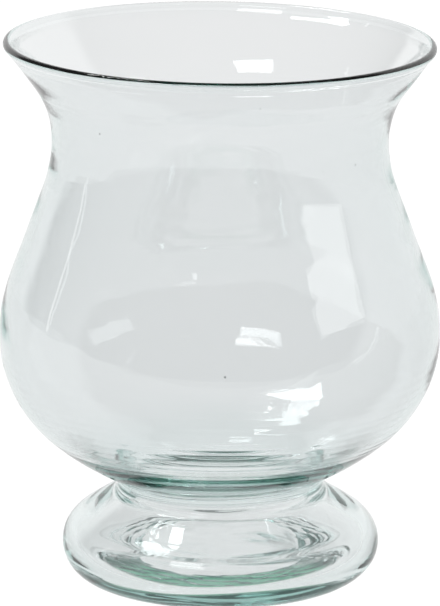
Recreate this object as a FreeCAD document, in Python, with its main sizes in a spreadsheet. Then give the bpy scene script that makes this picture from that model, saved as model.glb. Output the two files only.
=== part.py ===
"""Hyacinth forcing vase: a blown glass bowl standing on a hollow blown glass foot, in millimetres.

Both pieces are turned about the Z axis. The bowl has a flared lip, a waist and a round belly, and it
narrows to a thick neck with an open bore. The foot is a squat bulb of the same glass. Its thick shoulder
carries the neck, and its hollow is the lower end of the water space. The origin is the centre of the foot's
underside, and +Z is up.
"""
import FreeCAD, Part
import math
import os

import Sketcher

Vector = FreeCAD.Vector

# The corners of a straight run or an arc, the level line through the origin and the upright axis, by number
START, END, CENTRE = range(1, 4)
LEVEL_AXIS, UPRIGHT_AXIS = range(-1, -3, -1)
ORIGIN = (LEVEL_AXIS, START)

# Driving dimensions: radii from the axis, heights, wall thicknesses and radii of bends
SIZES = {
    # lip and waist, with the waist measured down from the lip
    "vase_height": 150.0,
    "lip_radius": 59.1,
    "flare_height": 27.2,
    "waist_radius": 46.2,
    "flare_bend_share": 0.72,
    "waist_bend_share": 0.341,
    # belly
    "belly_radius": 60.8,
    "belly_height": 68.1,
    "shoulder_bend_share": 0.451,
    "belly_bend_share": 0.88,
    "underside_bend": 70.0,
    "bowl_wall": 2.0,
    # neck, where the bowl and the foot meet
    "neck_radius": 28.8,
    "neck_height": 25.7,
    "neck_bend": 3.8,
    "bore_radius": 24.5,
    "bore_rise": 0.8,
    "bore_bend_share": 0.97,
    "bowl_floor_bend": 120.0,
    # foot
    "foot_radius": 44.2,
    "foot_bend": 9.5,
    "foot_wall": 4.6,
    "bore_drop": 1.8,
    "bore_bottom_bend": 3.0,
    "hollow_bend": 4.4,
    "floor_height": 4.6,
    "floor_rise": 0.5,
    # underside of the foot
    "heel_trim": 0.8,
    "ring_width": 4.4,
    "punt_height": 1.2,
}

# Dimensions that follow from the driving ones
WORKED_OUT = {
    "waist_height": "vase_height - flare_height",
    "lip_bend": "bowl_wall / 2",
    "lip_run": "lip_radius - waist_radius",
    "flare_bend": "flare_bend_share * (flare_height^2 + lip_run^2) / (2 * lip_run)",
    "waist_run": "belly_radius - waist_radius",
    "waist_rise": "waist_height - belly_height",
    "swing_bend": "(waist_rise^2 + waist_run^2) / (2 * waist_run)",
    "waist_bend": "waist_bend_share * swing_bend",
    "shoulder_bend": "shoulder_bend_share * swing_bend",
    "belly_bend": "belly_bend_share * (belly_height - neck_height)",
    "bore_top": "neck_height + bore_rise",
    "bore_room": "belly_height - belly_bend + bowl_wall - bore_top",
    "bore_top_bend": "bore_bend_share * bore_room",
    "bore_bottom": "neck_height - bore_drop",
    "foot_height": "foot_bend - heel_trim",
    "hollow_radius": "foot_radius - foot_wall",
    "hollow_height": "floor_height + hollow_bend",
}


def make_sheet(doc):
    """A row for each driving dimension, then a row for each dimension that follows from them."""
    sheet = doc.addObject("Spreadsheet::Sheet", "Sizes")
    cells = {name: str(value) for name, value in SIZES.items()}
    cells.update({name: "=" + formula for name, formula in WORKED_OUT.items()})
    for row, (name, text) in enumerate(cells.items(), start=1):
        sheet.set(f"A{row}", name)
        sheet.set(f"B{row}", text)
        sheet.setAlias(f"B{row}", name)
    doc.recompute()
    return sheet


def turned(angle):
    """The unit vector at an angle from +X, in the plane of the outlines."""
    return Vector(math.cos(angle), math.sin(angle))


def bearing(vector):
    return math.atan2(vector.y, vector.x)


def towards(start, goal, length):
    """The point at a length from start on the way to goal."""
    return start + (goal - start).normalize() * length


def crossing_tangent(low, low_bend, high, high_bend):
    """Where a straight line touches two circles, passing outside the low one and inside the high one."""
    span = high - low
    normal = turned(bearing(span) - math.acos((low_bend + high_bend) / span.Length))
    return low + normal * low_bend, high - normal * high_bend


def bridge(round_centre, round_bend, hollow_centre, hollow_bend, bend):
    """Centre of an arc that runs on from a smaller arc and ends against one that bends the other way."""
    span = hollow_centre - round_centre
    near = bend - round_bend
    far = bend + hollow_bend
    along = (near**2 - far**2 + span.Length**2) / (2 * span.Length)
    across = math.sqrt(near**2 - along**2)
    unit = span.normalize()
    return round_centre + unit * along + Vector(unit.y, -unit.x) * across


def cap_bend(radius, rise):
    """The radius of a shallow dome from its edge radius and its rise."""
    return (radius**2 + rise**2) / (2 * rise)


class Outline:
    """Half of a piece's section, drawn round as a closed line of straight runs and arcs."""

    def __init__(self, body, name, start):
        self.sketch = body.newObject("Sketcher::SketchObject", name)
        plane = next(feature for feature in body.Origin.OriginFeatures if feature.Role == "XZ_Plane")
        self.sketch.AttachmentSupport = [(plane, "")]
        self.sketch.MapMode = "FlatFace"
        self.point = start
        self.first = None
        self.last = None

    def rule(self, kind, *where):
        return self.sketch.addConstraint(Sketcher.Constraint(kind, *where))

    def add(self, shape, ends, joint):
        index = self.sketch.addGeometry(shape, False)
        if self.last:
            self.rule(joint, *self.last, index, ends[0])
        else:
            self.first = (index, ends[0])
        self.last = (index, ends[1])
        return index

    def line(self, goal, joint="Tangent"):
        shape = Part.LineSegment(self.point, goal)
        self.point = goal
        return self.add(shape, (START, END), joint)

    def arc_left(self, centre, goal, joint="Tangent"):
        """An arc about centre that turns to the left on its way to goal."""
        circle = Part.Circle(centre, Vector(0, 0, 1), (goal - centre).Length)
        shape = Part.ArcOfCircle(circle, bearing(self.point - centre), bearing(goal - centre))
        self.point = goal
        return self.add(shape, (START, END), joint)

    def arc_right(self, centre, goal, joint="Tangent"):
        """An arc about centre that turns to the right on its way to goal."""
        circle = Part.Circle(centre, Vector(0, 0, 1), (goal - centre).Length)
        shape = Part.ArcOfCircle(circle, bearing(goal - centre), bearing(self.point - centre))
        self.point = goal
        return self.add(shape, (END, START), joint)

    def close(self):
        self.rule("Coincident", *self.last, *self.first)

    def bind(self, kind, where, value, formula):
        number = self.rule(kind, *where, value)
        self.sketch.setExpression(f"Constraints[{number}]", formula)

    def bend(self, index, formula):
        self.bind("Radius", (index,), self.sketch.Geometry[index].Radius, formula)

    def out(self, index, corner, formula):
        """Ties a corner of a run or arc to its distance from the axis."""
        self.bind("DistanceX", (*ORIGIN, index, corner), self.sketch.getPoint(index, corner).x, formula)

    def up(self, index, corner, formula):
        """Ties a corner of a run or arc to its height."""
        self.bind("DistanceY", (*ORIGIN, index, corner), self.sketch.getPoint(index, corner).y, formula)


def draw_bowl(body, size):
    """The bowl's section: up the outside from the neck, round the lip and down the inside to the bore."""
    wall = size["bowl_wall"]
    waist_z = size["waist_height"]
    belly_z = size["belly_height"]
    neck = Vector(size["neck_radius"] + size["neck_bend"], size["neck_height"])
    belly = Vector(size["belly_radius"] - size["belly_bend"], belly_z)
    shoulder = Vector(size["belly_radius"] - size["shoulder_bend"], belly_z)
    waist = Vector(size["waist_radius"] + size["waist_bend"], waist_z)
    flare = Vector(size["waist_radius"] + size["flare_bend"], waist_z)
    lip = Vector(size["lip_radius"] - size["lip_bend"], size["vase_height"] - size["lip_bend"])
    bore = Vector(size["bore_radius"] + size["bore_top_bend"], size["bore_top"])
    under = bridge(belly, size["belly_bend"], neck, size["neck_bend"], size["underside_bend"])
    floor = bridge(belly, size["belly_bend"] - wall, bore, size["bore_top_bend"], size["bowl_floor_bend"])
    low, high = crossing_tangent(shoulder, size["shoulder_bend"], waist, size["waist_bend"])
    low_inside, high_inside = crossing_tangent(
        shoulder, size["shoulder_bend"] - wall, waist, size["waist_bend"] + wall)
    # the straight run of the flare passes the lip's round by its radius
    lip_span = lip - flare
    inward = turned(bearing(lip_span) + math.acos((size["flare_bend"] + size["lip_bend"]) / lip_span.Length))

    outline = Outline(body, "bowl_section", Vector(size["bore_radius"], size["neck_height"]))
    joint = outline.line(Vector(size["neck_radius"], size["neck_height"]))
    neck_arc = outline.arc_right(neck, towards(neck, under, size["neck_bend"]), "Coincident")
    under_arc = outline.arc_left(under, towards(under, belly, size["underside_bend"]))
    belly_arc = outline.arc_left(belly, Vector(size["belly_radius"], belly_z))
    shoulder_arc = outline.arc_left(shoulder, low)
    outline.line(high)
    waist_arc = outline.arc_right(waist, Vector(size["waist_radius"], waist_z))
    flare_arc = outline.arc_right(flare, flare + inward * size["flare_bend"])
    outline.line(lip - inward * size["lip_bend"])
    lip_arc = outline.arc_left(lip, lip + inward * size["lip_bend"])
    outline.line(flare + inward * (size["flare_bend"] + wall))
    flare_inside = outline.arc_left(flare, Vector(size["waist_radius"] - wall, waist_z))
    waist_inside = outline.arc_left(waist, high_inside)
    outline.line(low_inside)
    shoulder_inside = outline.arc_right(shoulder, Vector(size["belly_radius"] - wall, belly_z))
    belly_inside = outline.arc_right(belly, towards(floor, belly, size["bowl_floor_bend"]))
    floor_arc = outline.arc_right(floor, towards(bore, floor, size["bore_top_bend"]))
    bore_arc = outline.arc_left(bore, Vector(size["bore_radius"], size["bore_top"]))
    outline.line(Vector(size["bore_radius"], size["neck_height"]), "Coincident")
    outline.close()

    outline.rule("Horizontal", joint)
    outline.out(joint, START, "Sizes.bore_radius")
    outline.out(joint, END, "Sizes.neck_radius")
    outline.up(joint, END, "Sizes.neck_height")
    outline.bend(neck_arc, "Sizes.neck_bend")
    outline.up(neck_arc, CENTRE, "Sizes.neck_height")
    outline.bend(under_arc, "Sizes.underside_bend")
    outline.bend(belly_arc, "Sizes.belly_bend")
    outline.up(belly_arc, CENTRE, "Sizes.belly_height")
    outline.out(belly_arc, END, "Sizes.belly_radius")
    outline.up(belly_arc, END, "Sizes.belly_height")
    outline.bend(shoulder_arc, "Sizes.shoulder_bend")
    outline.bend(waist_arc, "Sizes.waist_bend")
    outline.up(waist_arc, CENTRE, "Sizes.waist_height")
    outline.out(waist_arc, START, "Sizes.waist_radius")
    outline.up(waist_arc, START, "Sizes.waist_height")
    outline.bend(flare_arc, "Sizes.flare_bend")
    outline.bend(lip_arc, "Sizes.lip_bend")
    outline.out(lip_arc, CENTRE, "Sizes.lip_radius - Sizes.lip_bend")
    outline.up(lip_arc, CENTRE, "Sizes.vase_height - Sizes.lip_bend")
    outline.rule("Coincident", flare_arc, CENTRE, flare_inside, CENTRE)
    outline.bend(flare_inside, "Sizes.flare_bend + Sizes.bowl_wall")
    outline.up(flare_inside, END, "Sizes.waist_height")
    outline.bend(waist_inside, "Sizes.waist_bend + Sizes.bowl_wall")
    outline.rule("Coincident", shoulder_arc, CENTRE, shoulder_inside, CENTRE)
    outline.bend(shoulder_inside, "Sizes.shoulder_bend - Sizes.bowl_wall")
    outline.up(shoulder_inside, START, "Sizes.belly_height")
    outline.bend(belly_inside, "Sizes.belly_bend - Sizes.bowl_wall")
    outline.bend(floor_arc, "Sizes.bowl_floor_bend")
    outline.bend(bore_arc, "Sizes.bore_top_bend")
    outline.up(bore_arc, CENTRE, "Sizes.bore_top")
    outline.out(bore_arc, END, "Sizes.bore_radius")
    outline.up(bore_arc, END, "Sizes.bore_top")
    return outline


def draw_foot(body, size):
    """The foot's section: out along the underside, up the outside to the neck and down inside the hollow."""
    neck = Vector(size["neck_radius"] + size["neck_bend"], size["neck_height"])
    bulge = Vector(size["foot_radius"] - size["foot_bend"], size["foot_height"])
    bore = Vector(size["bore_radius"] + size["bore_bottom_bend"], size["bore_bottom"])
    hollow = Vector(size["hollow_radius"] - size["hollow_bend"], size["hollow_height"])
    heel_radius = bulge.x + math.sqrt(size["foot_bend"]**2 - bulge.y**2)
    ring_radius = heel_radius - size["ring_width"]
    punt = Vector(0, size["punt_height"] - cap_bend(ring_radius, size["punt_height"]))
    # the inside floor is a dome that meets the round of the hollow where both are level with each other
    sag = size["hollow_bend"] - size["floor_rise"]
    floor_bend = (hollow.x**2 + sag**2 - size["hollow_bend"]**2) / (2 * size["floor_rise"])
    floor_top = Vector(0, size["floor_height"] + size["floor_rise"])
    floor = floor_top - Vector(0, floor_bend)
    low, high = crossing_tangent(bulge, size["foot_bend"], neck, size["neck_bend"])
    low_inside, high_inside = crossing_tangent(hollow, size["hollow_bend"], bore, size["bore_bottom_bend"])

    outline = Outline(body, "foot_section", Vector(0, size["punt_height"]))
    punt_arc = outline.arc_right(punt, Vector(ring_radius, 0))
    ring = outline.line(Vector(heel_radius, 0), "Coincident")
    bulge_arc = outline.arc_left(bulge, low, "Coincident")
    outline.line(high)
    neck_arc = outline.arc_right(neck, Vector(size["neck_radius"], size["neck_height"]))
    joint = outline.line(Vector(size["bore_radius"], size["neck_height"]), "Coincident")
    bore_line = outline.line(Vector(size["bore_radius"], size["bore_bottom"]), "Coincident")
    bore_arc = outline.arc_left(bore, high_inside)
    outline.line(low_inside)
    hollow_arc = outline.arc_right(hollow, towards(hollow, floor, size["hollow_bend"]))
    floor_arc = outline.arc_left(floor, floor_top)
    outline.line(Vector(0, size["punt_height"]), "Coincident")
    outline.close()

    outline.rule("PointOnObject", punt_arc, END, UPRIGHT_AXIS)
    outline.rule("PointOnObject", punt_arc, CENTRE, UPRIGHT_AXIS)
    outline.up(punt_arc, END, "Sizes.punt_height")
    outline.rule("PointOnObject", ring, START, LEVEL_AXIS)
    outline.rule("PointOnObject", ring, END, LEVEL_AXIS)
    outline.bind("DistanceX", (ring, START, ring, END), size["ring_width"], "Sizes.ring_width")
    outline.bend(bulge_arc, "Sizes.foot_bend")
    outline.out(bulge_arc, CENTRE, "Sizes.foot_radius - Sizes.foot_bend")
    outline.up(bulge_arc, CENTRE, "Sizes.foot_height")
    outline.bend(neck_arc, "Sizes.neck_bend")
    outline.up(neck_arc, CENTRE, "Sizes.neck_height")
    outline.out(neck_arc, START, "Sizes.neck_radius")
    outline.up(neck_arc, START, "Sizes.neck_height")
    outline.rule("Horizontal", joint)
    outline.rule("Vertical", bore_line)
    outline.out(bore_line, END, "Sizes.bore_radius")
    outline.up(bore_line, END, "Sizes.bore_bottom")
    outline.bend(bore_arc, "Sizes.bore_bottom_bend")
    outline.bend(hollow_arc, "Sizes.hollow_bend")
    outline.out(hollow_arc, CENTRE, "Sizes.hollow_radius - Sizes.hollow_bend")
    outline.up(hollow_arc, CENTRE, "Sizes.hollow_height")
    outline.rule("PointOnObject", floor_arc, CENTRE, UPRIGHT_AXIS)
    outline.rule("PointOnObject", floor_arc, END, UPRIGHT_AXIS)
    outline.up(floor_arc, END, "Sizes.floor_height + Sizes.floor_rise")
    return outline


def make_piece(doc, name, draw, size):
    """A glass piece: a body whose section is turned once round the vertical axis."""
    body = doc.addObject("PartDesign::Body", name)
    body.Label = name
    body.Placement = FreeCAD.Placement()
    outline = draw(body, size)
    turn = body.newObject("PartDesign::Revolution", name + "_turn")
    turn.Profile = outline.sketch
    turn.ReferenceAxis = (outline.sketch, ["V_Axis"])
    turn.Angle = 360.0
    body.Tip = turn
    doc.recompute()
    return body


def check(doc, bodies):
    """Stops before anything is written if a step failed, a section doesn't hold or a solid isn't sound."""
    for item in doc.Objects:
        if "Invalid" in item.State or "Error" in item.State:
            raise RuntimeError(f"{item.Name} failed: {item.State}")
    for body in bodies:
        for item in body.Group:
            if item.TypeId == "Sketcher::SketchObject" and item.solve() != 0:
                raise RuntimeError(f"{item.Name} doesn't hold")
        shape = body.Shape
        if shape.isNull() or not shape.isValid() or len(shape.Solids) != 1:
            raise RuntimeError(f"{body.Label} isn't one sound solid")


def main():
    doc = FreeCAD.newDocument("hyacinth_vase")
    sheet = make_sheet(doc)
    size = {name: float(sheet.get(name)) for name in [*SIZES, *WORKED_OUT]}
    bodies = [
        make_piece(doc, "bowl", draw_bowl, size),
        make_piece(doc, "foot", draw_foot, size),
    ]
    doc.recompute()
    check(doc, bodies)
    os.makedirs("parts", exist_ok=True)
    for body in bodies:
        body.Shape.exportStep(f"parts/{body.Label}.step")
        box = body.Shape.optimalBoundingBox(False, False)
        spans = f"{box.XLength:.2f} x {box.YLength:.2f} x {box.ZLength:.2f}"
        print(f"{body.Label}: {body.Shape.Volume:.0f} mm3, {spans}")


main()
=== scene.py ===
"""The looks of the hyacinth forcing vase: two pieces of clear blown glass on a white floor, in metres.

Each glass piece is turned from the half section of its CAD node, with the slight unevenness that blowing
leaves: a rim that leans, walls that swell and ripple, a chilled and crinkled band under the foot, darkened
green with painted shade, and a few tiny seeds.
"""
import math

import bpy
import numpy as np
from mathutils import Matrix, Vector


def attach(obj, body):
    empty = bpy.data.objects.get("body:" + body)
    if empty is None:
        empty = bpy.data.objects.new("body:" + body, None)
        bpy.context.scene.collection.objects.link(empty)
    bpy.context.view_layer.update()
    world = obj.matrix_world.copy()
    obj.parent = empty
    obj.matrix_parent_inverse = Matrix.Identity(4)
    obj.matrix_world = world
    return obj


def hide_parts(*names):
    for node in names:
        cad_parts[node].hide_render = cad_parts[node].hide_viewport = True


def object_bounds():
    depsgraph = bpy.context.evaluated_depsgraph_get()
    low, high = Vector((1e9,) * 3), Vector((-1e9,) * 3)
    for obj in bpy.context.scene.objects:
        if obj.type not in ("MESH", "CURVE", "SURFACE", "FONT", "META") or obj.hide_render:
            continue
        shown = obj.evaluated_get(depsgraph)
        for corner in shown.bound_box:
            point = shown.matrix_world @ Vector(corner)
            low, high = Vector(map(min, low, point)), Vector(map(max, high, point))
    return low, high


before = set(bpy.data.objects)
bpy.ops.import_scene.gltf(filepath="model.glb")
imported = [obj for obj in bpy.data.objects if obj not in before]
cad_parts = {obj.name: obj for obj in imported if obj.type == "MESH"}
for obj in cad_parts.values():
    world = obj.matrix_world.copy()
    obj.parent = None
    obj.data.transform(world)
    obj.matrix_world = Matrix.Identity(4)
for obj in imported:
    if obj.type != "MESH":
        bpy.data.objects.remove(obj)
cad_low, cad_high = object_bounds()

MM = 0.001
WHITE = (1.0, 1.0, 1.0, 1.0)

# The photograph's frame and the camera that fits the vase's outline in it
IMAGE_HEIGHT_PX = 606
FOCAL_PX = 4850.83
SENSOR_MM = 36.0
CAMERA_DISTANCE = 1.3
CAMERA_HEIGHT = 0.40427
CAMERA_PITCH = math.radians(14.16)
CLIP_NEAR = 0.01
CLIP_FAR = 100.0

# How the CAD section is read, eased and turned; BELL_REACH is how many widths the easing looks each way
ON_SECTION = 1e-7
SECTION_DIGITS = 7
SAMPLE_STEP = 0.1 * MM
SMOOTHING = 0.45 * MM
BEAD_SMOOTHING = SMOOTHING / 4
BEAD_SMOOTHING_RISE = (cad_high.z - 4 * MM, cad_high.z - 2 * MM)
BELL_REACH = 3
COLUMNS = 288
ROW_LENGTH = 1.3 * MM
FINE_ROW_LENGTH = 0.5 * MM
FINE_ROWS_BY_JOINT = 8 * MM
ROW_TURN = math.radians(2.6)
NORMAL_STEP = 0.02 * MM
NORMAL_TURN = 1e-4
JOINT_GAP = 0.01 * MM

# Waves of the blown surface: seed, how many, whole turns round the vase, pitch along the surface
SWELL_WAVES = (11, 7, (1, 4), (50 * MM, 120 * MM))
RIPPLE_WAVES = (23, 12, (3, 13), (9 * MM, 30 * MM))
CREASE_WAVES = (37, 6, (3, 9), (5 * MM, 9 * MM))
WRINKLE_WAVES = (41, 8, (8, 22), (2.5 * MM, 6 * MM))

# How far the waves stand out, and the radii or heights between which they come and go
SWELL_HEIGHT = 0.2 * MM
RIPPLE_HEIGHT = 0.035 * MM
AXIS_RISE = (2 * MM, 14 * MM)
GROUND_RISE = (1 * MM, 8 * MM)
RIM_FALL = (cad_high.z - 8 * MM, cad_high.z - 2 * MM)

# The neck: its ripple is calmer, and fine rings run round it, a little off level
CALM_SHARE = 0.93
CALM_RISE = (14 * MM, 22 * MM)
CALM_FALL = (46 * MM, 66 * MM)
NECK_RING_HEIGHT = 0.002 * MM
NECK_RING_PITCH = 1.7 * MM
NECK_RING_SWAY = 1.5
NECK_RING_SWAYS = 2
NECK_RING_RISE = (18 * MM, 23 * MM)
NECK_RING_FALL = (30 * MM, 38 * MM)

# The lip: it leans, and the flare is drawn out thin below its fire-polished bead
RIM_LEAN = math.radians(0.8)
LEAN_RISE = (0.6 * cad_high.z, cad_high.z)
THINNING = 0.3 * MM
THINNING_RISE = (116 * MM, 146 * MM)
BEAD_SWELL = 0.12 * MM
BEAD_RISE = (cad_high.z - 3.0 * MM, cad_high.z - 1.4 * MM)

# The chilled band round the underside of the foot: its creases, its edges, and its fading out at the back
CRINKLE_HEIGHT = 0.7 * MM
CRINKLE_INNER = 21.5 * MM
CRINKLE_OUTER = 34.5 * MM
CRINKLE_EDGE = 2 * MM
CRINKLE_AT_BACK = 0.15
CRINKLE_FRONT_RISE = (-0.35, 0.15)
CREASE_DEPTH = 1.2
WRINKLE_SHARE = 0.3
UNDERSIDE_TOP = 2 * MM
# where the band's painted shade grows darkest: with the creases' depth, and towards its sides as seen from
# the camera
CREASE_SHADE_RISE = (0.6, 1.5)
SIDE_SHADE_RISE = (0.8, 0.93)

# What each face of the glass lets through; the two band tints are painted shade, dark green where the thick
# base darkens what shows through, darkest in the creases and at the sides
BOWL_TINT = (0.957, 0.949, 0.957)
FOOT_TINT = (0.967, 0.958, 0.964)
BAND_PAINTED_SHADE = (0.04, 0.24, 0.13)
CREASE_PAINTED_SHADE = (0.002, 0.02, 0.012)
TINT_AND_SHADE_LAYER = "cast"

# The glass itself: how it bends light, the colour it leaves, how much light each piece takes up per metre
GLASS_IOR = 1.5
GREEN_CAST = (0.0, 0.42, 0.36, 1.0)
BOWL_DENSITY = 32
FOOT_DENSITY = 15

# Seeds: tiny bubbles in the wall, each at a bearing from the camera's side (degrees), a height and a radius
SEEDS = [
    (-42, 132 * MM, 0.22 * MM),
    (1, 71 * MM, 0.30 * MM),
    (52, 121 * MM, 0.20 * MM),
    (11, 143 * MM, 0.20 * MM),
    (-118, 88 * MM, 0.25 * MM),
    (142, 104 * MM, 0.20 * MM),
]
SEED_DEPTH = 1.0 * MM
BUBBLE_COLUMNS = 12
BUBBLE_RINGS = 8

# The camera's side, -Y, as a bearing from +X in degrees
CAMERA_SIDE = -90

# The dark of the room in the white surroundings: its middle, how far it reaches and the light it gives
ROOM_AZIMUTH = math.radians(-25)
ROOM_ELEVATION = math.radians(36)
ROOM_CORE = math.radians(94)
ROOM_EDGE = math.radians(103)
ROOM_LIGHT = 0.18

# The white floor: its reach to the sides and back, where it ends in front, how far it lies below the foot
FLOOR_REACH = 3.0
FLOOR_FRONT = -0.34
FLOOR_DROP = 0.05 * MM
FLOOR_MATT = (0.05, 0.05, 0.05, 1.0)
FLOOR_SHEEN = (0.025, 0.025, 0.025, 1.0)
FLOOR_ROUGHNESS = 0.1

# How bright the white of the floor and the surroundings shows in the glass
WHITE_IN_GLASS = 0.88

# Lamps: name, azimuth and elevation in degrees, width and height in metres, power in watts
LAMP_DISTANCE = 1.2
LAMPS = [
    ("front_softbox", -26, 40, 0.46, 0.3, 2.1),
    ("right_softbox", 69, 19, 0.6, 0.26, 0.8),
    ("window_edge", -100, 16, 0.03, 0.7, 0.14),
    ("window_pane", -120, 64, 0.24, 0.38, 3.2),
]

# Bounces that light needs to find its way through thick glass
ALL_BOUNCES = 90
GLASS_BOUNCES = 80


def ease(value, low, high):
    """A smooth step from 0 at low to 1 at high."""
    share = np.clip((value - low) / (high - low), 0.0, 1.0)
    return share * share * (3 - 2 * share)


def section_links(node):
    """The CAD piece's section at Y = 0: each of its points (radius, height) with the points next to it."""
    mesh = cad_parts[node].data
    spots = {}
    for vertex in mesh.vertices:
        x, y, z = vertex.co
        if abs(y) < ON_SECTION and x > -ON_SECTION:
            spots[vertex.index] = (round(x, SECTION_DIGITS), round(z, SECTION_DIGITS))
    links = {}
    for edge in mesh.edges:
        first, second = (spots.get(index) for index in edge.vertices)
        if first and second and first != second:
            links.setdefault(first, set()).add(second)
            links.setdefault(second, set()).add(first)
    return links


def walk(links, start, stop, avoid):
    """The points from start to stop, each linked to the one before, without setting off towards avoid."""
    path = [start]
    while path[-1] != stop:
        onward = [spot for spot in links[path[-1]] if spot != avoid and spot not in path[-2:]]
        avoid = None
        path.append(onward[0])
    return path


def whole_outline():
    """The vase's outline, and the outer and the inner point of the joint between the foot and the bowl.

    It runs from the underside's middle, up outside, over the lip and down inside to the floor's middle.
    """
    bowl = section_links("bowl")
    foot = section_links("foot")
    on_axis = sorted(spot for spot in foot if len(foot[spot]) == 1)
    shared = [spot for spot in foot if spot in bowl]
    outside, inside = max(shared), min(shared)
    points = (
        walk(foot, on_axis[0], outside, None)[:-1]
        + walk(bowl, outside, inside, inside)
        + walk(foot, inside, on_axis[-1], outside)[1:]
    )
    return np.array(points), np.array(outside), np.array(inside)


def evenly_spaced(points):
    """The line through the points, sampled at even steps."""
    along = np.concatenate([[0.0], np.cumsum(np.hypot(*np.diff(points, axis=0).T))])
    even = np.linspace(0.0, along[-1], int(along[-1] / SAMPLE_STEP) + 1)
    return np.column_stack([np.interp(even, along, points[:, axis]) for axis in (0, 1)])


def smoothed(points, width):
    """The line with its bends eased over a width, and its ends kept."""
    reach = math.ceil(BELL_REACH * width / SAMPLE_STEP)
    weights = np.exp(-0.5 * (np.arange(-reach, reach + 1) * SAMPLE_STEP / width) ** 2)
    weights /= weights.sum()
    before = 2 * points[0] - points[reach:0:-1]
    after = 2 * points[-1] - points[-2:-reach - 2:-1]
    padded = np.vstack([before, points, after])
    return np.column_stack([np.convolve(padded[:, axis], weights, "valid") for axis in (0, 1)])


def turned_rows(line, run, outer, inner):
    """The samples of the line to turn: more of them in bends, over the crinkled band and by the joint."""
    heading = np.unwrap(np.arctan2(run[:, 1], run[:, 0]))
    rows = [0]
    for index in range(1, len(line)):
        length = (index - rows[-1]) * SAMPLE_STEP
        turn = abs(heading[index] - heading[rows[-1]])
        radius, height = line[index]
        crinkled = index < outer and CRINKLE_INNER < radius < CRINKLE_OUTER and height < UNDERSIDE_TOP
        at_joint = abs(index - outer) * SAMPLE_STEP < FINE_ROWS_BY_JOINT
        longest = FINE_ROW_LENGTH if crinkled or at_joint else ROW_LENGTH
        if length >= longest or turn >= ROW_TURN or index in (outer, inner, len(line) - 1):
            rows.append(index)
    return rows


def blown_profile():
    """The outline as rows to turn: points, directions, places along it, the joint's outer and inner row."""
    points, outside, inside = whole_outline()
    fine = evenly_spaced(points)
    # the lip's bead is small, so it is eased less
    beadness = ease(fine[:, 1], *BEAD_SMOOTHING_RISE)[:, None]
    line = smoothed(fine, SMOOTHING) * (1 - beadness) + smoothed(fine, BEAD_SMOOTHING) * beadness
    run = np.gradient(line, axis=0)
    run /= np.hypot(run[:, 0], run[:, 1])[:, None]
    outer, inner = (int(np.hypot(*(fine - spot).T).argmin()) for spot in (outside, inside))
    rows = turned_rows(line, run, outer, inner)
    place = np.array(rows)[:, None] * SAMPLE_STEP
    return line[rows], run[rows], place, rows.index(outer), rows.index(inner)


def waves(seed, count, turns, pitch, place, angle):
    """A surface of shallow waves round and along the glass, about 1 high, the same on every run."""
    chance = np.random.default_rng(seed)
    height = 0.0
    for _ in range(count):
        whole_turns = chance.integers(*turns, endpoint=True) * chance.choice([-1, 1])
        phase = chance.uniform(0.0, math.tau)
        height = height + np.sin(whole_turns * angle + math.tau * place / chance.uniform(*pitch) + phase)
    return height / math.sqrt(count)


def crinkle(radius, height, place, angle, inside):
    """The chilled band round the foot's underside: where it is, and how deep, about 1 in its creases."""
    crease = waves(*CREASE_WAVES, place, angle)
    wrinkle = waves(*WRINKLE_WAVES, place, angle)
    # the band is also the mask of the foot's painted shade, which fades at the back with the creases
    band = (
        ease(radius, CRINKLE_INNER, CRINKLE_INNER + CRINKLE_EDGE)
        * (1 - ease(radius, CRINKLE_OUTER - CRINKLE_EDGE, CRINKLE_OUTER))
        * np.where(inside | (height > UNDERSIDE_TOP), 0.0, 1.0)
        * (CRINKLE_AT_BACK + (1 - CRINKLE_AT_BACK) * ease(-np.sin(angle), *CRINKLE_FRONT_RISE))
    )
    return band, band * np.maximum(0.0, CREASE_DEPTH - np.abs(crease) + WRINKLE_SHARE * wrinkle)


def swelling(radius, height, place, angle, inside):
    """How far the blown glass stands out from the true lathe shape, along the outline's normal."""
    off_axis = ease(radius, *AXIS_RISE)
    off_ground = np.where(inside, 1.0, ease(height, *GROUND_RISE))
    off_rim = 1 - ease(height, *RIM_FALL)
    # the wall bends as a whole, so the same swell moves its two faces the same way
    broad = waves(*SWELL_WAVES, height, angle) * np.where(inside, -1.0, 1.0)
    near_neck = ease(height, *CALM_RISE) * (1 - ease(height, *CALM_FALL))
    ripple = waves(*RIPPLE_WAVES, place, angle) * (1 - CALM_SHARE * near_neck)
    sway = NECK_RING_SWAY * np.sin(NECK_RING_SWAYS * angle)
    rings = np.sin(math.tau * place / NECK_RING_PITCH + sway)
    at_neck = ease(height, *NECK_RING_RISE) * (1 - ease(height, *NECK_RING_FALL))
    at_bead = ease(height, *BEAD_RISE)
    drawn_out = ease(height, *THINNING_RISE) * (1 - at_bead)
    lip = BEAD_SWELL * at_bead - THINNING * drawn_out * inside
    uneven = (SWELL_HEIGHT * broad + RIPPLE_HEIGHT * ripple) * off_rim + NECK_RING_HEIGHT * rings * at_neck
    smooth = off_axis * off_ground * uneven
    _, depth = crinkle(radius, height, place, angle, inside)
    return smooth + lip - CRINKLE_HEIGHT * depth


def foot_tints_with_painted_shade(line, place, angle, inside):
    """What each point of the foot's faces lets through: less and greener light over the chilled band, as
    painted shade for the dark that the thick base shows there.
    """
    band, depth = (part[..., None] for part in crinkle(line[:, :1], line[:, 1:], place, angle, inside))
    # painted shade: the band is darkest in its creases and towards its two ends, left and right as seen from
    # the camera
    ends = ease(np.abs(np.cos(angle)), *SIDE_SHADE_RISE)[..., None]
    crease = np.maximum(ease(depth, *CREASE_SHADE_RISE), ends)
    painted_band_shade = np.array(BAND_PAINTED_SHADE) * (1 - crease) + np.array(CREASE_PAINTED_SHADE) * crease
    return np.array(FOOT_TINT) * (1 - band) + painted_band_shade * band


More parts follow.
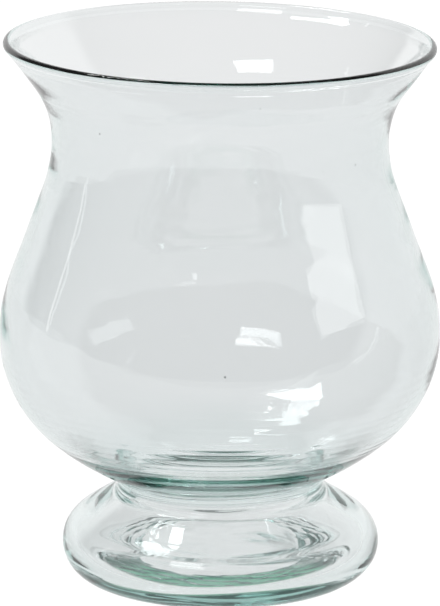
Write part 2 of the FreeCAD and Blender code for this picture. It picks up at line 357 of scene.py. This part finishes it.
def turned_glass(line, run, place):
    """Points, normals and tints of the blown surface, on a grid of rows and columns; the foot's tints hold
    painted shade.
    """
    angle = np.linspace(0.0, math.tau, COLUMNS, endpoint=False)[None, :]
    lip = line[:, 1].argmax()
    inside = (np.arange(len(line)) > lip)[:, None]

    def at(along, across):
        radius = line[:, :1] + along * run[:, :1]
        height = line[:, 1:] + along * run[:, 1:]
        bearing = angle + across
        out = swelling(radius, height, place + along, bearing, inside)
        radius = radius + out * run[:, 1:]
        height = height - out * run[:, :1]
        lean = math.tan(RIM_LEAN) * radius * np.cos(bearing) * ease(height, *LEAN_RISE)
        return np.stack([radius * np.cos(bearing), radius * np.sin(bearing), height - lean], axis=-1)

    across = at(0.0, NORMAL_TURN) - at(0.0, -NORMAL_TURN)
    along = at(NORMAL_STEP, 0.0) - at(-NORMAL_STEP, 0.0)
    normals = np.cross(across, along)
    on_axis = line[:, 0] < SAMPLE_STEP / 2
    level = np.zeros(on_axis.sum())
    normals[on_axis] = np.stack([level, level, -run[on_axis, 0]], axis=-1)[:, None, :]
    normals /= np.linalg.norm(normals, axis=-1, keepdims=True)
    return at(0.0, 0.0), normals, foot_tints_with_painted_shade(line, place, angle, inside)


def seed_places(points, lip):
    """The centre and radius of each seed: under the outer face of the wall, at its bearing and height."""
    places = []
    for bearing, height, radius in SEEDS:
        column = round(math.radians(bearing + CAMERA_SIDE) % math.tau / math.tau * COLUMNS) % COLUMNS
        outside = points[:lip, column]
        spot = Vector(outside[np.abs(outside[:, 2] - height).argmin()])
        inward = Vector((-spot.x, -spot.y, 0.0)).normalized()
        places.append((spot + inward * SEED_DEPTH, radius))
    return places


def strip_faces(low, high, low_is_point, high_is_point, columns):
    """The faces between two rows, from the first point of each and whether that row is a single point."""
    if low_is_point and high_is_point:
        return []
    sides = [(column, (column + 1) % columns) for column in range(columns)]
    if low_is_point:
        return [(low, high + beside, high + column) for column, beside in sides]
    if high_is_point:
        return [(low + column, low + beside, high) for column, beside in sides]
    return [(low + column, low + beside, high + beside, high + column) for column, beside in sides]


def bubble(centre, radius):
    """The points, normals and faces of a small hollow ball in the glass, turned to face its own middle."""
    ways, starts, faces = [], [], []
    for ring in range(BUBBLE_RINGS + 1):
        starts.append(len(ways))
        tilt = math.pi * ring / BUBBLE_RINGS
        for step in range(BUBBLE_COLUMNS if 0 < ring < BUBBLE_RINGS else 1):
            turn = math.tau * step / BUBBLE_COLUMNS
            wide = math.sin(tilt)
            ways.append(Vector((wide * math.cos(turn), wide * math.sin(turn), math.cos(tilt))))
    for ring in range(BUBBLE_RINGS):
        ends = (ring == 0, ring + 1 == BUBBLE_RINGS)
        faces.extend(strip_faces(starts[ring], starts[ring + 1], *ends, BUBBLE_COLUMNS))
    return [tuple(centre + way * radius) for way in ways], [tuple(-way) for way in ways], faces


def set_normals(mesh, facing, flat_faces):
    """Shade the mesh smoothly, by each point's own direction, apart from the faces that stay flat."""
    mesh.polygons.foreach_set("use_smooth", [True] * len(mesh.polygons))
    corner_normals = [facing[loop.vertex_index] for loop in mesh.loops]
    for index in flat_faces:
        face = mesh.polygons[index]
        for corner in face.loop_indices:
            corner_normals[corner] = tuple(face.normal)
    mesh.normals_split_custom_set(corner_normals)


def set_tints(mesh, tints):
    """Keep each point's tint, with the foot's painted shade, in the mesh, where its material reads it."""
    layer = mesh.color_attributes.new(TINT_AND_SHADE_LAYER, "FLOAT_COLOR", "POINT")
    opaque = np.ones((len(tints), 1))
    layer.data.foreach_set("color", np.hstack([tints, opaque]).astype(np.float32).ravel())


def turned_mesh(name, points, normals, joint_strip, seeds, tints=None):
    """A closed mesh of rows of points, with one strip as the joint's flat face and the seeds in its wall."""
    rows = len(points)
    pole = [np.ptp(row[:, 0]) < SAMPLE_STEP for row in points]
    verts, facing, starts, colours = [], [], [], []
    for index, row in enumerate(points):
        starts.append(len(verts))
        count = 1 if pole[index] else COLUMNS
        verts.extend(map(tuple, row[:count]))
        facing.extend(map(tuple, normals[index][:count]))
        if tints is not None:
            colours.extend(tints[index][:count])
    faces = []
    joint_faces = range(0)
    for index in range(rows):
        following = (index + 1) % rows
        strip = strip_faces(starts[index], starts[following], pole[index], pole[following], COLUMNS)
        if index == joint_strip:
            joint_faces = range(len(faces), len(faces) + len(strip))
        faces.extend(strip)
    for centre, radius in seeds:
        more_verts, more_facing, more_faces = bubble(centre, radius)
        faces.extend(tuple(len(verts) + corner for corner in face) for face in more_faces)
        verts.extend(more_verts)
        facing.extend(more_facing)
    mesh = bpy.data.meshes.new(name)
    mesh.from_pydata(verts, [], faces)
    mesh.update()
    set_normals(mesh, facing, joint_faces)
    if tints is not None:
        set_tints(mesh, colours)
    return mesh


def new_object(name, data):
    """An object of the scene that holds a mesh, a lamp or a camera."""
    made = bpy.data.objects.new(name, data)
    bpy.context.scene.collection.objects.link(made)
    return made


def add_piece(mesh, node, material):
    """Put the finished glass piece in place of its CAD node."""
    mesh.materials.append(material)
    piece = new_object(mesh.name, mesh)
    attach(piece, "root")
    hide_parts(node)


def build_vase():
    """The two pieces of glass: the bowl, and the foot with a hair's gap at the joint between them."""
    line, run, place, outer, inner = blown_profile()
    points, normals, tints = turned_glass(line, run, place)
    seeds = seed_places(points, line[:, 1].argmax())
    bowl = slice(outer, inner + 1)
    blown_bowl = turned_mesh("blown_bowl", points[bowl], normals[bowl], inner - outer, seeds)
    add_piece(blown_bowl, "bowl", glass_material("bowl_glass", BOWL_TINT, BOWL_DENSITY))
    foot_points, foot_normals, foot_tints_and_shade = (
        np.concatenate([grid[:outer + 1], grid[inner:]]) for grid in (points, normals, tints)
    )
    foot_points[outer:outer + 2, :, 2] -= JOINT_GAP
    blown_foot = turned_mesh("blown_foot", foot_points, foot_normals, outer, (), foot_tints_and_shade)
    foot_glass = glass_material("foot_glass", FOOT_TINT, FOOT_DENSITY)
    tint_and_shade_by_layer(foot_glass)
    add_piece(blown_foot, "foot", foot_glass)


def node_tree(holder):
    """The emptied node tree of a material or world."""
    holder.use_nodes = True
    holder.node_tree.nodes.clear()
    return holder.node_tree


def calculated(tree, operation, first, second):
    """The result of a calculation with two values, each a number or another node's output."""
    node = tree.nodes.new("ShaderNodeMath")
    node.operation = operation
    for socket, value in zip(node.inputs, (first, second)):
        if isinstance(value, bpy.types.NodeSocket):
            tree.links.new(value, socket)
        else:
            socket.default_value = value
    return node.outputs[0]


def glass_material(name, tint, density):
    """Clear soda glass with a green cast that shows where it is thick."""
    material = bpy.data.materials.new(name)
    tree = node_tree(material)
    output = tree.nodes.new("ShaderNodeOutputMaterial")
    glass = tree.nodes.new("ShaderNodeBsdfPrincipled")
    glass.name = "glass"
    glass.inputs["Transmission Weight"].default_value = 1.0
    glass.inputs["Roughness"].default_value = 0.0
    glass.inputs["IOR"].default_value = GLASS_IOR
    glass.inputs["Base Color"].default_value = (*tint, 1.0)
    cast = tree.nodes.new("ShaderNodeVolumeAbsorption")
    cast.inputs["Color"].default_value = GREEN_CAST
    cast.inputs["Density"].default_value = density
    tree.links.new(glass.outputs["BSDF"], output.inputs["Surface"])
    tree.links.new(cast.outputs["Volume"], output.inputs["Volume"])
    return material


def tint_and_shade_by_layer(material):
    """Take the tint from the mesh, which carries the painted shade that makes it darker and greener over the
    chilled band.
    """
    tree = material.node_tree
    layer = tree.nodes.new("ShaderNodeVertexColor")
    layer.layer_name = TINT_AND_SHADE_LAYER
    tree.links.new(layer.outputs["Color"], tree.nodes["glass"].inputs["Base Color"])


def towards(azimuth, elevation):
    """The direction at an azimuth, 0 on the camera's side and growing to the right, and an elevation."""
    level = math.cos(elevation)
    return Vector((math.sin(azimuth) * level, -math.cos(azimuth) * level, math.sin(elevation)))


def make_world():
    """Studio surroundings: white all round, while reflections show the dark of the room before the vase."""
    world = bpy.data.worlds.new("studio")
    bpy.context.scene.world = world
    tree = node_tree(world)
    place = tree.nodes.new("ShaderNodeTexCoord")
    nearness = tree.nodes.new("ShaderNodeVectorMath")
    nearness.operation = "DOT_PRODUCT"
    nearness.inputs[1].default_value = towards(ROOM_AZIMUTH, ROOM_ELEVATION)
    shade = tree.nodes.new("ShaderNodeMapRange")
    shade.interpolation_type = "SMOOTHSTEP"
    shade.inputs["From Min"].default_value = math.cos(ROOM_EDGE)
    shade.inputs["From Max"].default_value = math.cos(ROOM_CORE)
    shade.inputs["To Min"].default_value = 1.0
    shade.inputs["To Max"].default_value = ROOM_LIGHT
    tree.links.new(place.outputs["Generated"], nearness.inputs[0])
    tree.links.new(nearness.outputs["Value"], shade.inputs["Value"])
    # only a ray that was reflected at least once sees the dark
    ray = tree.nodes.new("ShaderNodeLightPath")
    unreflected = calculated(tree, "SUBTRACT", 1.0, ray.outputs["Glossy Depth"])
    in_glass = calculated(tree, "MULTIPLY", unreflected, WHITE_IN_GLASS)
    straight = calculated(tree, "MAXIMUM", in_glass, ray.outputs["Is Camera Ray"])
    light = tree.nodes.new("ShaderNodeBackground")
    light.inputs["Color"].default_value = WHITE
    strength = calculated(tree, "MAXIMUM", straight, shade.outputs["Result"])
    tree.links.new(strength, light.inputs["Strength"])
    output = tree.nodes.new("ShaderNodeOutputWorld")
    tree.links.new(light.outputs["Background"], output.inputs["Surface"])


def floor_material():
    """A white that glows evenly to the camera and in the glass, with a faint matt surface and sheen."""
    material = bpy.data.materials.new("floor")
    tree = node_tree(material)
    ray = tree.nodes.new("ShaderNodeLightPath")
    seen = calculated(tree, "MAXIMUM", ray.outputs["Is Glossy Ray"], ray.outputs["Is Transmission Ray"])
    in_glass = calculated(tree, "MULTIPLY", seen, WHITE_IN_GLASS)
    glow = tree.nodes.new("ShaderNodeEmission")
    glow.inputs["Color"].default_value = WHITE
    strength = calculated(tree, "MAXIMUM", in_glass, ray.outputs["Is Camera Ray"])
    tree.links.new(strength, glow.inputs["Strength"])
    matt = tree.nodes.new("ShaderNodeBsdfDiffuse")
    matt.inputs["Color"].default_value = FLOOR_MATT
    sheen = tree.nodes.new("ShaderNodeBsdfAnisotropic")
    sheen.inputs["Color"].default_value = FLOOR_SHEEN
    sheen.inputs["Roughness"].default_value = FLOOR_ROUGHNESS
    surface = tree.nodes.new("ShaderNodeAddShader")
    tree.links.new(matt.outputs[0], surface.inputs[0])
    tree.links.new(sheen.outputs[0], surface.inputs[1])
    both = tree.nodes.new("ShaderNodeAddShader")
    tree.links.new(glow.outputs[0], both.inputs[0])
    tree.links.new(surface.outputs[0], both.inputs[1])
    output = tree.nodes.new("ShaderNodeOutputMaterial")
    tree.links.new(both.outputs[0], output.inputs["Surface"])
    return material


def make_floor():
    """The white floor, which takes the vase's faint shadow."""
    corners = [
        (-FLOOR_REACH, FLOOR_FRONT, -FLOOR_DROP),
        (FLOOR_REACH, FLOOR_FRONT, -FLOOR_DROP),
        (FLOOR_REACH, FLOOR_REACH, -FLOOR_DROP),
        (-FLOOR_REACH, FLOOR_REACH, -FLOOR_DROP),
    ]
    mesh = bpy.data.meshes.new("floor")
    mesh.from_pydata(corners, [], [(0, 1, 2, 3)])
    mesh.materials.append(floor_material())
    floor = new_object("floor", mesh)


def make_lamp(name, azimuth, elevation, width, height, power):
    """A softbox that faces the vase, placed as seen from it."""
    data = bpy.data.lights.new(name, "AREA")
    data.shape = "RECTANGLE"
    data.size = width
    data.size_y = height
    data.energy = power
    way = towards(math.radians(azimuth), math.radians(elevation))
    lamp = new_object(name, data)
    lamp.location = (cad_low + cad_high) / 2 + way * LAMP_DISTANCE
    lamp.rotation_mode = "QUATERNION"
    lamp.rotation_quaternion = way.to_track_quat("Z", "Y")


def make_lamps():
    """The lights whose reflections show in the glass: bright windows on the rim, the belly and the foot."""
    for lamp in LAMPS:
        make_lamp(*lamp)


def make_camera():
    """The camera at the photograph's distance, height and pitch."""
    data = bpy.data.cameras.new("camera")
    data.sensor_width = SENSOR_MM
    data.lens = FOCAL_PX * SENSOR_MM / IMAGE_HEIGHT_PX
    data.clip_start = CLIP_NEAR
    data.clip_end = CLIP_FAR
    camera = new_object("camera", data)
    camera.location = (0.0, -CAMERA_DISTANCE, CAMERA_HEIGHT)
    camera.rotation_euler = (math.pi / 2 - CAMERA_PITCH, 0.0, 0.0)
    bpy.context.scene.camera = camera


def set_light_paths():
    """A plain view of the light, and bounces enough for thick glass, where sharp reflections stay sharp."""
    scene = bpy.context.scene
    scene.view_settings.view_transform = "Standard"
    scene.cycles.max_bounces = ALL_BOUNCES
    scene.cycles.transmission_bounces = GLASS_BOUNCES
    scene.cycles.glossy_bounces = GLASS_BOUNCES
    scene.cycles.blur_glossy = 0.0


make_camera()
build_vase()
make_world()
make_floor()
make_lamps()
set_light_paths()
